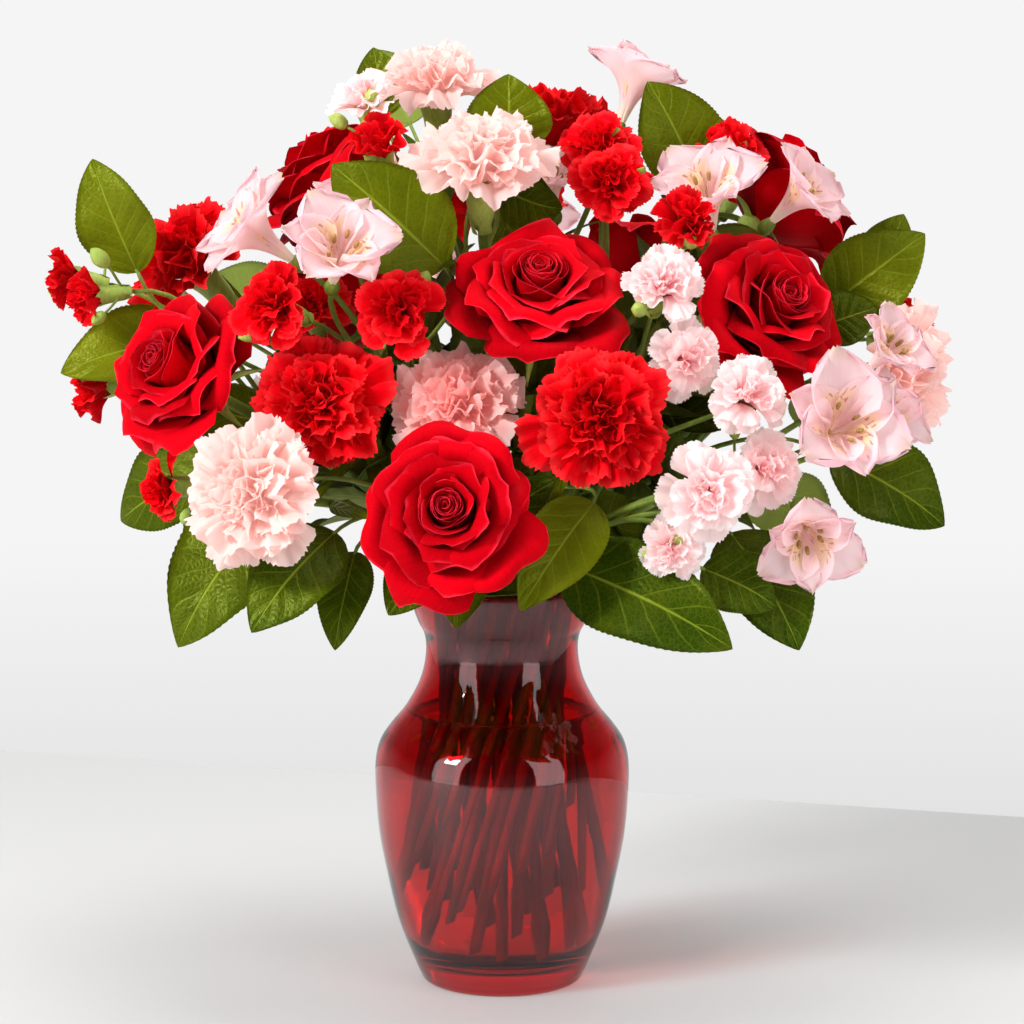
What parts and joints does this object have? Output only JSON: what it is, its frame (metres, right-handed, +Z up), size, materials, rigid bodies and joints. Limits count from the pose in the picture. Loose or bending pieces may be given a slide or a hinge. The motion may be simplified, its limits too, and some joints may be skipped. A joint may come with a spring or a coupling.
{
  "type": "carnation and rose bouquet in a glass vase",
  "caption": "Dome-shaped bouquet of roses, carnations, spray carnations and alstroemeria with glossy leaves, standing in water in a waisted ruby-glass vase with a flared lip.",
  "frame": {"origin": "middle of the vase's flat underside, on the surface it stands on", "axes": "+Z up along the vase's axis, -Y towards the bouquet's front, +X to the right of someone facing the front"},
  "size_m": [0.4491, 0.3505, 0.4781],
  "materials": {
    "vase_glass": "gloss",
    "water": "gloss",
    "red_rose_petals": "satin",
    "red_carnation_petals": "matte",
    "pink_carnation_petals": "matte",
    "dusty_pink_carnation_petals": "matte",
    "alstroemeria_petals": "satin",
    "green_stem": "satin",
    "green_leaf": "satin"
  },
  "bodies": {
    "root": {"vase": "vase_glass", "water": "water", "rose_1_stem": "green_stem", "rose_1_bloom": "red_rose_petals", "rose_2_stem": "green_stem", "rose_2_bloom": "red_rose_petals", "rose_3_stem": "green_stem", "rose_3_bloom": "red_rose_petals", "rose_4_stem": "green_stem", "rose_4_bloom": "red_rose_petals", "rose_5_stem": "green_stem", "rose_5_bloom": "red_rose_petals", "rose_6_stem": "green_stem", "rose_6_bloom": "red_rose_petals", "rose_7_stem": "green_stem", "rose_7_bloom": "red_rose_petals", "rose_8_stem": "green_stem", "rose_8_bloom": "red_rose_petals", "carnation_1_stem": "green_stem", "carnation_1_bloom": "red_carnation_petals", "carnation_2_stem": "green_stem", "carnation_2_bloom": "red_carnation_petals", "carnation_3_stem": "green_stem", "carnation_3_bloom": "pink_carnation_petals", "carnation_4_stem": "green_stem", "carnation_4_bloom": "dusty_pink_carnation_petals", "carnation_5_stem": "green_stem", "carnation_5_bloom": "pink_carnation_petals", "carnation_6_stem": "green_stem", "carnation_6_bloom": "pink_carnation_petals", "carnation_7_stem": "green_stem", "carnation_7_bloom": "pink_carnation_petals", "carnation_8_stem": "green_stem", "carnation_8_bloom": "red_carnation_petals", "carnation_9_stem": "green_stem", "carnation_9_bloom": "red_carnation_petals", "carnation_10_stem": "green_stem", "carnation_10_bloom": "pink_carnation_petals", "carnation_11_stem": "green_stem", "carnation_11_bloom": "red_carnation_petals", "red_spray_1": "red_carnation_petals", "red_spray_2": "red_carnation_petals", "red_spray_3": "red_carnation_petals", "red_spray_4": "red_carnation_petals", "pink_spray_1": "pink_carnation_petals", "pink_spray_2": "pink_carnation_petals", "pink_spray_3": "pink_carnation_petals", "alstroemeria_1": "alstroemeria_petals", "alstroemeria_2": "alstroemeria_petals", "alstroemeria_3": "alstroemeria_petals", "alstroemeria_4": "alstroemeria_petals", "leaf_branch_1": "green_leaf", "leaf_branch_2": "green_leaf", "leaf_branch_3": "green_leaf", "leaf_branch_4": "green_leaf", "leaf_branch_5": "green_leaf", "leaf_branch_6": "green_leaf", "leaf_branch_7": "green_leaf", "leaf_branch_8": "green_leaf"}
  },
  "joints": []
}
